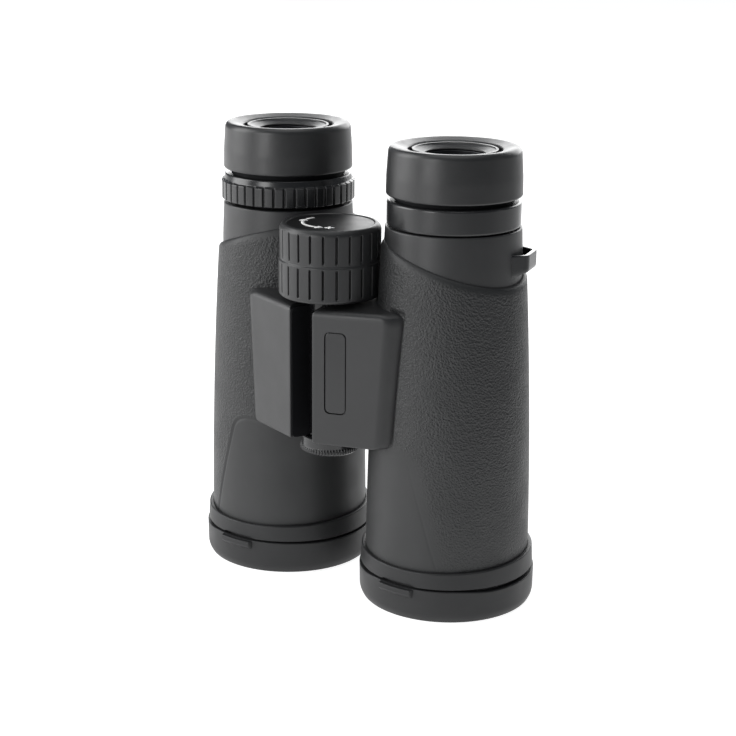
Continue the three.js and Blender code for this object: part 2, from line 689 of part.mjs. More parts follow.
function addBarrel(side) {
  addToBarrel(side, 'barrel_housing', makeHousing(side), HOUSING);
  addToBarrel(side, 'rubber_armor', makeArmor(side), RUBBER);
  addToBarrel(side, 'objective_lens', makeObjectiveLens(), COATED_GLASS);
  addToBarrel(side, 'objective_ring', ring(18.6, OBJECTIVE_RADIUS - 0.2, 10.4, 13.6), ANODISED);
  addToBarrel(side, 'focus_lens_cell', makeFocusCell(side), ANODISED);
  addToBarrel(side, 'focus_lens', makeFocusLens(), GLASS);
  addToBarrel(side, 'prism_cage', makePrismCage(), HOUSING);
  addToBarrel(side, 'half_penta_prism', makeHalfPentaPrism(), GLASS);
  addToBarrel(side, 'roof_prism', makeRoofPrism(), GLASS);
  addToBarrel(side, 'eyecup_guide_tube', makeGuideTube(side), ANODISED);
  addToBarrel(side, 'ocular_barrel', makeOcularBarrel(side), ANODISED);
  addToBarrel(side, 'ocular_ring', makeOcularRing(side), ANODISED);
  addToBarrel(side, 'eye_lens', makeEyeLens(side), COATED_GLASS);
  addToBarrel(side, 'field_lens', makeFieldLens(), GLASS);
  addToBarrel(side, 'eyecup_cam', makeEyecupCam(side), SATIN_PLASTIC);
  addToBarrel(side, 'eyecup', makeEyecup(side), SOFT_RUBBER);
  addToBarrel(side, 'strap_lug', makeStrapLug(side), SATIN_PLASTIC);
  addToBarrel(side, 'cover_ring', makeCoverRing(), SOFT_RUBBER);
  addToBarrel(side, 'objective_lid', makeLid(), SOFT_RUBBER);
  addToBarrel(side, 'lid_pin', crossRod(0.8, 11, LID_PIN_SETBACK, LID_PIN_HEIGHT), STEEL);
}

addBarrel(LEFT);
addBarrel(RIGHT);
addToBarrel(LEFT, 'eyepiece_collar', makeCollar(), SATIN_PLASTIC);
addToBarrel(RIGHT, 'diopter_ring', makeDiopterRing(), SATIN_PLASTIC);

addToHinge('left_bridge', makeLeftBridge(), HOUSING);
addToHinge('right_bridge', makeRightBridge(), HOUSING);
addToHinge('left_bridge_inlay', inlayPlate(0, 1), SATIN_PLASTIC);
addToHinge('hinge_tube', makeHingeTube(), GLOSS_BLACK);
addToHinge('screw_bearing', makeScrewBearing(), BRASS);
addToHinge('focus_nut', makeFocusNut(), BRASS);
addToHinge('focus_screw', makeFocusScrew(), STEEL);
addToHinge('focus_knob_core', makeKnobCore(), SATIN_PLASTIC);
addToHinge('focus_knob_grip', makeKnobGrip(), SOFT_RUBBER);
addToHinge('focus_knob_cap', makeKnobCap(), SATIN_PLASTIC);
addToHinge('tripod_bush', makeTripodBush(), BRASS);
addToHinge('tripod_cap', makeTripodCap(), SATIN_PLASTIC);

export default group;
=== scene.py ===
"""Looks of a pair of binoculars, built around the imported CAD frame.

Lengths are in millimetres until a mesh is made. Left and right are the user's.
"""
import json
import math
from types import SimpleNamespace

import bmesh
import bpy
import numpy as np
from mathutils import Matrix, Vector


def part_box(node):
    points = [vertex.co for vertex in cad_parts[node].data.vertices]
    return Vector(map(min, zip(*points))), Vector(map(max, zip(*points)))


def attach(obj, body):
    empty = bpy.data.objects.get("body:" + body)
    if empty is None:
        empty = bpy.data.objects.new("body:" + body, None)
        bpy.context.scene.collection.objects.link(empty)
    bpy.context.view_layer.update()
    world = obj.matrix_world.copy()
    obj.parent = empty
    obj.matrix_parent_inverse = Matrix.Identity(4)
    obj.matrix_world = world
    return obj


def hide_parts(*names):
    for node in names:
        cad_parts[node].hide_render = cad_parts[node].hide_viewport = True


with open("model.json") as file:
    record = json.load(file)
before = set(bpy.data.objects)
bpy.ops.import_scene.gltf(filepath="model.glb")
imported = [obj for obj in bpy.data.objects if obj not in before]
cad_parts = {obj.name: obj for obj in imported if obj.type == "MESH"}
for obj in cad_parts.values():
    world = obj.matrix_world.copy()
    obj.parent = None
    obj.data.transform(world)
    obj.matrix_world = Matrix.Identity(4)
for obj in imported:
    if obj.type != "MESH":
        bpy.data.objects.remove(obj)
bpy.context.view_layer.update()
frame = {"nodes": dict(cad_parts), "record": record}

MM = 0.001
TURN = 2 * math.pi


def spot(node):
    """A CAD node's middle, lowest and highest point and radius, in millimetres."""
    low, high = (np.array(corner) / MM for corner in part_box(node))
    return SimpleNamespace(x=(low[0] + high[0]) / 2, y=(low[1] + high[1]) / 2, low=low[2], high=high[2],
                           radius=(high[0] - low[0]) / 2)


SIDES = {"left": 1, "right": -1}
AXES = {side: spot(f"{side}_objective_lens") for side in SIDES}
HINGE = spot("focus_screw")


# ---- materials ----

class Shader:
    """A principled material whose look is built up by the calls below."""

    def __init__(self, name, color, roughness, **constants):
        self.material = bpy.data.materials.new(name)
        self.material.use_nodes = True
        self.nodes = self.material.node_tree.nodes
        self.links = self.material.node_tree.links
        self.bsdf = self.nodes["Principled BSDF"]
        self.bsdf.inputs["Base Color"].default_value = (*color, 1)
        self.bsdf.inputs["Roughness"].default_value = roughness
        for socket, value in constants.items():
            self.bsdf.inputs[socket.replace("_", " ")].default_value = value
        self.color = color
        self.roughness = roughness
        self.coordinates = self.nodes.new("ShaderNodeTexCoord")
        self.height = None

    def noise(self, size, detail=3.0, stretch=(1, 1, 1)):
        """A noise pattern whose features are about size millimetres across."""
        mapping = self.nodes.new("ShaderNodeMapping")
        mapping.inputs["Scale"].default_value = stretch
        self.links.new(self.coordinates.outputs["Object"], mapping.inputs["Vector"])
        noise = self.nodes.new("ShaderNodeTexNoise")
        noise.inputs["Scale"].default_value = 1 / (size * MM)
        noise.inputs["Detail"].default_value = detail
        self.links.new(mapping.outputs["Vector"], noise.inputs["Vector"])
        return noise.outputs["Fac"]

    def cells(self, size):
        """Rounded cells about size millimetres apart, on slightly warped coordinates."""
        warp = self.nodes.new("ShaderNodeTexNoise")
        warp.inputs["Scale"].default_value = 1 / (size * 2.2 * MM)
        self.links.new(self.coordinates.outputs["Object"], warp.inputs["Vector"])
        shift = self.nodes.new("ShaderNodeVectorMath")
        shift.operation = "MULTIPLY_ADD"
        shift.inputs[1].default_value = [size * 0.9 * MM] * 3
        self.links.new(warp.outputs["Color"], shift.inputs[0])
        self.links.new(self.coordinates.outputs["Object"], shift.inputs[2])
        cells = self.nodes.new("ShaderNodeTexVoronoi")
        cells.feature = "SMOOTH_F1"
        cells.inputs["Scale"].default_value = 1 / (size * MM)
        cells.inputs["Smoothness"].default_value = 0.6
        self.links.new(shift.outputs["Vector"], cells.inputs["Vector"])
        return cells.outputs["Distance"]

    def attribute(self, name):
        """A mesh attribute's value at each point."""
        attribute = self.nodes.new("ShaderNodeAttribute")
        attribute.attribute_name = name
        return attribute.outputs["Fac"]

    def math(self, operation, first, second):
        """Two numbers or outputs combined."""
        node = self.nodes.new("ShaderNodeMath")
        node.operation = operation
        for socket, value in zip(node.inputs, (first, second)):
            if isinstance(value, (int, float)):
                socket.default_value = value
            else:
                self.links.new(value, socket)
        return node.outputs["Value"]

    def along(self, direction):
        """The distance in metres along a direction from the object's origin."""
        node = self.nodes.new("ShaderNodeVectorMath")
        node.operation = "DOT_PRODUCT"
        node.inputs[1].default_value = direction
        self.links.new(self.coordinates.outputs["Object"], node.inputs[0])
        return node.outputs["Value"]

    def ramp(self, source, low, high, to_low, to_high, interpolation="LINEAR"):
        """Maps low..high to to_low..to_high."""
        node = self.nodes.new("ShaderNodeMapRange")
        node.interpolation_type = interpolation
        for socket, value in zip(("From Min", "From Max", "To Min", "To Max"), (low, high, to_low, to_high)):
            node.inputs[socket].default_value = value
        self.links.new(source, node.inputs["Value"])
        return node.outputs["Result"]

    def vary_roughness(self, source, spread):
        """Lets the roughness wander about its mean by spread each way."""
        shift = self.ramp(source, 0.3, 0.7, self.roughness - spread, self.roughness + spread)
        self.links.new(shift, self.bsdf.inputs["Roughness"])
        return self

    def vary_color(self, source, share):
        """Lets the colour wander between darker and lighter by a share of itself."""
        mix = self.nodes.new("ShaderNodeMix")
        mix.data_type = "RGBA"
        for socket, scale in (("A", 1 - share), ("B", 1 + share)):
            tint = [c * scale for c in self.color]
            next(s for s in mix.inputs if s.name == socket and s.type == "RGBA").default_value = (*tint, 1)
        self.links.new(self.ramp(source, 0.3, 0.7, 0, 1), mix.inputs["Factor"])
        self.links.new(next(s for s in mix.outputs if s.type == "RGBA"), self.bsdf.inputs["Base Color"])
        return self

    def emboss(self, source, depth):
        """Raises the surface by depth millimetres where source is 1. Later calls lie on earlier ones."""
        bump = self.nodes.new("ShaderNodeBump")
        bump.inputs["Distance"].default_value = depth * MM
        bump.inputs["Strength"].default_value = 1
        self.links.new(source, bump.inputs["Height"])
        if self.height is not None:
            self.links.new(self.height, bump.inputs["Normal"])
        self.height = bump.outputs["Normal"]
        self.links.new(self.height, self.bsdf.inputs["Normal"])
        return self


def armor_rubber():
    """Matt rubber with a fine leather grain, which fades out on the smooth panel."""
    shader = Shader("armor_rubber", (0.021, 0.0215, 0.022), 0.50, Specular_IOR_Level=0.45)
    grain = shader.cells(0.62)
    folds = shader.noise(1.1, 4.0)
    textured = shader.math("MULTIPLY", shader.math("ADD", grain, shader.math("MULTIPLY", folds, 0.8)),
                           shader.attribute("grain"))
    shader.emboss(textured, 0.27)
    shader.emboss(shader.noise(0.25, 2.0), 0.006)
    shader.vary_roughness(shader.noise(9, 5.0), 0.05)
    return shader.vary_color(shader.noise(14, 5.0), 0.08).material


def moulded(name, color, roughness, specular, bumps, gloss, tone):
    """A moulded surface: fine bumps, uneven gloss and a faint mottled tone.

    Each of these three is the size of its pattern, the pattern's detail and how much it changes.
    """
    shader = Shader(name, color, roughness, Specular_IOR_Level=specular)
    shader.emboss(shader.noise(*bumps[:2]), bumps[2])
    shader.vary_roughness(shader.noise(*gloss[:2]), gloss[2])
    return shader.vary_color(shader.noise(*tone[:2]), tone[2]).material


def satin_plastic():
    """Moulded plastic with a tight, glossier skin."""
    return moulded("satin_plastic", (0.013, 0.0133, 0.0142), 0.25, 0.6,
                   bumps=(0.35, 2, 0.0015), gloss=(9, 3, 0.02), tone=(11, 4, 0.08))


def polished_black():
    """The glossy hinge tube."""
    shader = Shader("polished_black", (0.004, 0.004, 0.0045), 0.22, Specular_IOR_Level=0.5)
    shader.vary_roughness(shader.noise(6, 5.0), 0.03)
    return shader.vary_color(shader.noise(9, 3.0), 0.15).material


def anodised():
    """Black anodised aluminium with faint turning marks."""
    shader = Shader("anodised", (0.045, 0.046, 0.050), 0.35, Metallic=0.6)
    shader.emboss(shader.noise(0.5, 2.0, (0.05, 0.05, 6)), 0.006)
    shader.vary_roughness(shader.noise(3, 5.0), 0.05)
    return shader.vary_color(shader.noise(8, 3.0), 0.08).material


def machined(name, color, roughness):
    """Bare turned metal."""
    shader = Shader(name, color, roughness, Metallic=1.0)
    shader.emboss(shader.noise(0.4, 2.0, (0.1, 0.1, 5)), 0.008)
    shader.vary_roughness(shader.noise(2, 5.0), 0.08)
    return shader.vary_color(shader.noise(5, 3.0), 0.08).material


def coated_glass():
    """A coated lens seen against the dark inside of the tube."""
    shader = Shader("coated_glass", (0.012, 0.016, 0.024), 0.03, Specular_IOR_Level=0.8, Coat_Weight=0.6)
    shader.vary_roughness(shader.noise(4, 3.0), 0.01)
    return shader.vary_color(shader.noise(12, 2.0), 0.25).material


def clear_glass():
    """The prisms and lenses inside, which nobody sees from outside."""
    shader = Shader("clear_glass", (0.80, 0.86, 0.90), 0.02, Transmission_Weight=0.9)
    shader.vary_roughness(shader.noise(4, 3.0), 0.01)
    return shader.vary_color(shader.noise(12, 2.0), 0.03).material


def mark_paint():
    """White print."""
    shader = Shader("mark_paint", (0.80, 0.80, 0.79), 0.5)
    shader.vary_roughness(shader.noise(0.8, 4.0), 0.08)
    return shader.vary_color(shader.noise(1.5, 4.0), 0.05).material


MATERIALS = {
    "armor": armor_rubber(),
    "housing": moulded("soft_coating", (0.022, 0.0222, 0.023), 0.42, 0.5,
                       bumps=(0.22, 3, 0.010), gloss=(7, 6, 0.05), tone=(16, 4, 0.07)),
    "collar_plastic": satin_plastic(),
    "satin_plastic": satin_plastic(),
    "soft_rubber": moulded("eyecup_rubber", (0.021, 0.0212, 0.0218), 0.38, 0.52,
                           bumps=(0.3, 3, 0.007), gloss=(6, 6, 0.05), tone=(10, 5, 0.08)),
    "grip_rubber": moulded("grip_rubber", (0.019, 0.0193, 0.020), 0.42, 0.5,
                           bumps=(0.25, 3, 0.010), gloss=(4, 6, 0.06), tone=(8, 5, 0.10)),
    "lid_rubber": moulded("lid_rubber", (0.018, 0.0182, 0.019), 0.46, 0.34,
                          bumps=(0.3, 3, 0.010), gloss=(8, 6, 0.05), tone=(13, 5, 0.08)),
    "hinge_gloss": polished_black(),
    "cap_plastic": moulded("cap_plastic", (0.006, 0.006, 0.0065), 0.42, 0.25,
                           bumps=(0.3, 3, 0.003), gloss=(5, 4, 0.03), tone=(7, 3, 0.12)),
    # Near-black and dull: on the eyecup tubes and the bridge cheeks its darkness is painted shade for the
    # slit under the eyecup and the gap between the bridge halves
    "bore_black": moulded("bore_black", (0.004, 0.0042, 0.0052), 0.7, 0.16,
                          bumps=(0.4, 3, 0.006), gloss=(4, 4, 0.05), tone=(7, 3, 0.15)),
    "anodised": anodised(),
    "brass": machined("brass", (0.60, 0.43, 0.18), 0.3),
    "steel": machined("steel", (0.52, 0.53, 0.54), 0.25),
    "objective_glass": coated_glass(),
    "optical_glass": clear_glass(),
    "mark": mark_paint(),
}


# ---- outlines ----

def rounded(points, closed=True, steps=5):
    """Rounds each corner of an outline of (r, z) or (r, z, radius) points."""
    corners = [(np.array(p[:2], float), p[2] if len(p) > 2 else 0) for p in points]
    outline = []
    for i, (corner, radius) in enumerate(corners):
        end = not closed and i in (0, len(corners) - 1)
        if end or not radius:
            outline.append(tuple(corner))
            continue
        before = corners[i - 1][0] - corner
        after = corners[(i + 1) % len(corners)][0] - corner
        reach = min(radius, 0.48 * np.linalg.norm(before), 0.48 * np.linalg.norm(after))
        start = corner + before / np.linalg.norm(before) * reach
        stop = corner + after / np.linalg.norm(after) * reach
        for t in np.linspace(0, 1, steps + 1):
            outline.append(tuple((1 - t) ** 2 * start + 2 * t * (1 - t) * corner + t * t * stop))
    return outline


def dense(outline, step, closed=True):
    """Splits the long stretches of an outline into pieces no longer than step."""
    points = []
    pairs = list(zip(outline, outline[1:] + outline[:1])) if closed else list(zip(outline, outline[1:]))
    for start, stop in pairs:
        pieces = max(1, math.ceil(math.dist(start, stop) / step))
        points += [tuple(np.add(start, np.subtract(stop, start) * i / pieces)) for i in range(pieces)]
    return points if closed else points + [outline[-1]]


def even(points, count):
    """The same line as count evenly spaced points."""
    points = np.array(points)
    run = np.concatenate([[0], np.cumsum(np.linalg.norm(np.diff(points, axis=0), axis=1))])
    places = np.linspace(0, run[-1], count)
    return np.stack([np.interp(places, run, points[:, i]) for i in (0, 1)], axis=1)


def smooth_step(value, low, high):
    share = np.clip((value - low) / (high - low), 0, 1)
    return share * share * (3 - 2 * share)


def wrap(angle):
    return (angle + math.pi) % TURN - math.pi


def front_turn(angle):
    """Angle from the barrel's front, the -Y side."""
    return wrap(angle + math.pi / 2)


# ---- mesh making ----

def finish_mesh(name, vertices, faces, grain=None):
    mesh = bpy.data.meshes.new(name)
    mesh.from_pydata((np.asarray(vertices) * MM).tolist(), [], faces)
    if grain is not None:
        mesh.attributes.new("grain", "FLOAT", "POINT").data.foreach_set("value", np.ravel(grain))
    mesh.shade_smooth()
    mesh.update()
    piece = bpy.data.objects.new(name, mesh)
    bpy.context.collection.objects.link(piece)
    return piece


def grid_mesh(name, x, y, z, closed_rows, grain=None):
    """A skin over rows of points, each row a ring.

    Closed rows meet round a bore. Open rows get a flat cap at each end.
    """
    rows, columns = x.shape
    vertices = np.stack([x, y, z], axis=-1).reshape(-1, 3)
    last = rows if closed_rows else rows - 1
    row = np.arange(last)[:, None] * columns
    above = ((np.arange(last)[:, None] + 1) % rows) * columns
    column = np.arange(columns)[None, :]
    right = (column + 1) % columns
    quads = np.stack([row + column, row + right, above + right, above + column], axis=-1)
    quads = quads.reshape(-1, 4).tolist()
    if not closed_rows:
        quads.append(list(range(columns))[::-1])
        quads.append([(rows - 1) * columns + i for i in range(columns)])
    return finish_mesh(name, vertices, quads, grain)


def lathe(name, outline, axis, sides=160, form=None, closed=True):
    """Turns an outline of (r, z) points about an axis. form(angle, r, z) may shape the result."""
    r = np.array([p[0] for p in outline])[:, None] + np.zeros(sides)
    z = np.array([p[1] for p in outline])[:, None] + np.zeros(sides)
    angle = np.linspace(0, TURN, sides, endpoint=False)[None, :] + np.zeros_like(r)
    if form:
        r, z = form(angle, r, z)
    return grid_mesh(name, axis.x + r * np.cos(angle), axis.y + r * np.sin(angle), z, closed)


def solid_lathe(name, outline, axis, **options):
    """A turned piece that is solid to its axis, such as a lens: a tiny flat stands in for the pole."""
    pole = 0.05
    points = [(max(r, pole), z) for r, z in outline]
    return lathe(name, points, axis, closed=False, **options)


def prism_mesh(name, sections):
    """A loft through horizontal sections [(outline, z), ...] with the same number of points."""
    x = np.array([[p[0] for p in outline] for outline, _ in sections])
    y = np.array([[p[1] for p in outline] for outline, _ in sections])
    z = np.array([[height] * len(outline) for outline, height in sections])
    return grid_mesh(name, x, y, z, False)


def joined(name, pieces):
    """Several closed pieces as one object."""
    target = pieces[0]
    merged = bmesh.new()
    for piece in pieces:
        piece.data.transform(piece.matrix_world)
        piece.matrix_world = Matrix()
        merged.from_mesh(piece.data)
    merged.to_mesh(target.data)
    merged.free()
    for piece in pieces[1:]:
        bpy.data.objects.remove(piece)
    target.name = name
    target.data.shade_smooth()
    return target


def carve(piece, cutter):
    """Cuts the cutter out of the piece and removes the cutter."""
    modifier = piece.modifiers.new("carve", "BOOLEAN")
    modifier.object = cutter
    modifier.operation = "DIFFERENCE"
    modifier.solver = "EXACT"
    graph = bpy.context.evaluated_depsgraph_get()
    result = bpy.data.meshes.new_from_object(piece.evaluated_get(graph))
    piece.modifiers.clear()
    piece.data = result
    bpy.data.objects.remove(cutter)
    return piece


def crisp(piece, degrees=35):
    """Keeps edges sharper than this angle sharp and evens the shading of the large faces."""
    piece.data.set_sharp_from_angle(angle=math.radians(degrees))
    normals = piece.modifiers.new("even_shading", "WEIGHTED_NORMAL")
    normals.keep_sharp = True
    return piece


BODY_OF = {node: body for body, nodes in frame["record"]["behaviour"]["bodies"].items() for node in nodes}
SLOT_OF = {part["node"]: part["material_slot"] for part in frame["record"]["subparts"]}


def place(piece, node, look=None, stands_for=None):
    """Gives a finished piece the body and finish of a CAD node, and lets it stand for that node."""
    piece.data.materials.clear()
    piece.data.materials.append(MATERIALS[look or SLOT_OF[node]])
    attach(piece, BODY_OF[node])
    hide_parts(*([node] if stands_for is None else stands_for))
    return piece


# ---- barrels ----

WAVE_LOW = 103.8  # the armour's upper edge on the barrel's outer side
WAVE_RISE = 11.5  # and how much higher it is towards the hinge
NECK_RADIUS = 21.15
PANEL_TOP = 51.5
PANEL_CORNER = 4.0
WALL_GROOVE = 1.1  # depth of the dip in the armour along a bridge half's outer wall
HIGHEST_GRAIN = 65  # the leather grain is full above this height and weaker near the foot
LOWEST_GRAIN = 15


def armor_radius(height):
    """The armour's slow swell from the neck down to the objective end."""
    return 25.95 - 0.00031 * np.maximum(0, height - 4) ** 2


def knob_hollow(axis, angle, radius, clearance):
    """Pulls a barrel's surface back to leave room for the focus knob."""
    reach = math.hypot(axis.x - HINGE.x, axis.y - HINGE.y)
    towards = math.atan2(HINGE.y - axis.y, HINGE.x - axis.x)
    turn = wrap(angle - towards)
    inside = clearance ** 2 - (reach * np.sin(turn)) ** 2
    near = (inside > 0) & (np.cos(turn) > 0)
    limit = np.where(near, reach * np.cos(turn) - np.sqrt(np.maximum(inside, 0)), radius)
    return np.minimum(radius, limit)


def panel_distance(inward_angle, height, radius):
    """Distance from the smooth lower panel's edge, negative inside it.

    inward_angle is 0 towards the other barrel. The edge leans: it turns outwards on its way down.
    """
    edge = math.pi / 2 + np.radians(6.5 + (47.3 - height) * 0.679)
    lean = 0.958
    across = (inward_angle - edge) * radius * lean + PANEL_CORNER
    up = height - PANEL_TOP + PANEL_CORNER
    outside = np.hypot(np.maximum(across, 0), np.maximum(up, 0))
    return outside + np.minimum(np.maximum(across, up), 0) - PANEL_CORNER


def wall_turn(height):
    """Angle from the barrel's front at which the bridge half's outer wall enters the armour."""
    axis = np.array([AXES["left"].x - HINGE.x, AXES["left"].y - HINGE.y])
    wall = np.subtract(on_face(WALL_SLOPE, 1), FACE_START)
    wall = wall / np.linalg.norm(wall)
    turns = []
    for z in np.ravel(height):
        corner = np.array(on_face(face_width(z), 0)) - axis
        radius = armor_radius(z) - WALL_GROOVE
        along = corner @ wall
        entry = -along - math.sqrt(max(along ** 2 - corner @ corner + radius ** 2, 0))
        point = corner + wall * entry
        turns.append(math.atan2(point[0], -point[1]))
    return np.array(turns)[:, None]


def rubber_armor(side):
    """The rubber skin with its wavy upper edge, its leather grain and the grooved smooth panel."""
    axis, sign = AXES[side], SIDES[side]
    cad = spot(f"{side}_rubber_armor")
    columns, rows = 540, 300
    angle = np.linspace(0, TURN, columns, endpoint=False)[None, :]
    outward = 0 if sign > 0 else math.pi
    from_outside = np.abs(wrap(angle - outward))
    edge = WAVE_LOW + WAVE_RISE * smooth_step(from_outside, 0, math.radians(150))
    share = np.linspace(0, 1, rows)[:, None]
    shoulder, foot_round = 1.9, 1.0
    z = cad.low + share * (edge - cad.low)
    r = armor_radius(z)
    fall = np.clip((z - (edge - shoulder)) / shoulder, 0, 1)
    r = r - (r - NECK_RADIUS - 0.05) * (1 - np.sqrt(1 - np.minimum(fall, 0.999) ** 2))
    foot = np.clip((cad.low + foot_round - z) / foot_round, 0, 1)
    r = r - foot_round * (1 - np.sqrt(1 - np.minimum(foot, 0.999) ** 2))
    inward_angle = math.pi - from_outside
    gap = panel_distance(inward_angle, z, r)
    groove_width = 0.32
    groove_depth, grain_fade = (0.07, 5.0) if side == "left" else (0.27, 0.9)
    r = r - groove_depth * np.exp(-(gap / groove_width) ** 2)
    if side == "left":
        beside = (front_turn(angle) - wall_turn(z[:, 0])) * r
        along_wall = smooth_step(z, BRIDGE_LOW + 0.5, BRIDGE_LOW + 5)
        along_wall *= 1 - smooth_step(z, BRIDGE_HIGH + 0.6, BRIDGE_HIGH + 2)
        near_wall = smooth_step(beside, -6, -3) * (1 - smooth_step(beside, 0.3, 1.9))
        r = r - WALL_GROOVE * along_wall * near_wall
    under_knob = z > spot("focus_knob_grip").low - 0.35
    r = np.where(under_knob, knob_hollow(axis, angle, r, spot("focus_knob_grip").radius + 0.8), r)
    grain = smooth_step(gap, 0.3, 0.3 + grain_fade) * smooth_step(edge - z, 0.8, 3.2)
    grain *= 0.6 + 0.4 * smooth_step(z, LOWEST_GRAIN, HIGHEST_GRAIN)
    level = np.zeros((1, columns))
    inner = [(NECK_RADIUS - 0.6, edge - 0.2), (20.6, level + 96), (24.2, level + cad.low + 0.4)]
    r = np.concatenate([r] + [level + radius for radius, _ in inner])
    z = np.concatenate([z] + [height for _, height in inner])
    grain = np.concatenate([grain, np.zeros((len(inner), columns))])
    x = axis.x + r * np.cos(angle)
    y = axis.y + r * np.sin(angle)
    skin = grid_mesh(f"{side}_armor_skin", x, y, z, True, grain)
    place(skin, f"{side}_rubber_armor")


def barrel_housing(side):
    """The housing: seen as the smooth neck above the armour and round the objective below."""
    axis = AXES[side]
    cad = spot(f"{side}_barrel_housing")
    neck_foot = 99
    outline = rounded([
        (24.1, cad.low, 0.4), (24.1, 20), (NECK_RADIUS + 0.3, neck_foot), (NECK_RADIUS + 0.25, 108),
        (NECK_RADIUS, 114), (NECK_RADIUS - 0.25, cad.high, 0.5), (16.6, cad.high), (16.6, 110), (18.9, 109),
        (18.9, 24), (21.4, 23), (21.4, cad.low, 0.4),
    ])
    clearance = spot("focus_knob_grip").radius + 0.45

    def form(angle, r, z):
        return np.where(z > 97, knob_hollow(axis, angle, r, clearance), r), z

    neck = lathe(f"{side}_neck", dense(outline, 2.5), axis, 192, form)
    place(crisp(neck), f"{side}_barrel_housing")


# ---- objective ends ----

def hinge_ears(axis, y, z, spans, radius):
    """Knuckles along X about the lid's hinge line."""
    ears = []
    for low, high in spans:
        outline = [(radius - 0.25, low), (radius, low + 0.25), (radius, high - 0.25), (radius - 0.25, high)]
        line = SimpleNamespace(x=0, y=0)
        ear = solid_lathe("ear", outline, line, sides=40)
        turn = Matrix.Rotation(math.pi / 2, 4, "Y")
        ear.data.transform(Matrix.Translation(Vector((axis.x, y, z)) * MM) @ turn)
        ears.append(ear)
    return ears


def rounded_block(name, low, high, bevel):
    """A box with rounded edges between two corners."""
    mesh = bpy.data.meshes.new(name)
    box = bmesh.new()
    bmesh.ops.create_cube(box, size=1)
    size = [b - a for a, b in zip(low, high)]
    middle = [(a + b) / 2 for a, b in zip(low, high)]
    bmesh.ops.scale(box, vec=Vector(size) * MM, verts=box.verts)
    bmesh.ops.translate(box, vec=Vector(middle) * MM, verts=box.verts)
    bmesh.ops.bevel(box, geom=box.edges[:], offset=bevel * MM, segments=4, profile=0.5, affect="EDGES")
    box.to_mesh(mesh)
    box.free()
    mesh.shade_smooth()
    piece = bpy.data.objects.new(name, mesh)
    bpy.context.collection.objects.link(piece)
    return piece


TAB_HALF_TURN = math.radians(13)
EAR_RADIUS = 1.6
RING_EARS = ((-6, -3.3), (3.3, 6))  # the ring's two knuckles, along X from the barrel's axis
LID_EAR = (-3, 3)


def cover_ring(side):
    """The soft ring round the barrel's end, lower at the front, with a finger notch above the lid's tab."""
    axis = AXES[side]
    pin = spot(f"{side}_lid_pin")
    bottom, top, radius = 10.95, 17.6, 27.5
    bore = armor_radius(15) + 0.05
    front_drop, notch_height = 1.6, 0.55
    outline = dense(rounded([
        (bore, bottom), (radius, bottom, 0.3), (radius - 0.3, top, 0.5), (bore, top, 0.12),
    ]), 0.8)

    def form(angle, r, z):
        towards_front = 0.5 + 0.5 * np.cos(front_turn(angle))
        share = (z - bottom) / (top - bottom)
        z = z - front_drop * towards_front ** 1.4 * smooth_step(share, 0.15, 0.95)
        notch = 1 - smooth_step(np.abs(front_turn(angle)), TAB_HALF_TURN * 0.8, TAB_HALF_TURN * 1.05)
        return r, z + notch_height * notch * (1 - smooth_step(share, 0, 0.5))

    band = lathe("band", outline, axis, 256, form)
    ears = hinge_ears(axis, pin.y, (pin.low + pin.high) / 2, RING_EARS, EAR_RADIUS)
    webs = [rounded_block("web", (axis.x + low, axis.y + 26.6, 11.1), (axis.x + high, pin.y, 13.0), 0.3)
            for low, high in RING_EARS]
    ring = joined(f"{side}_cover_band", [band] + ears + webs)
    place(crisp(ring), f"{side}_cover_ring")


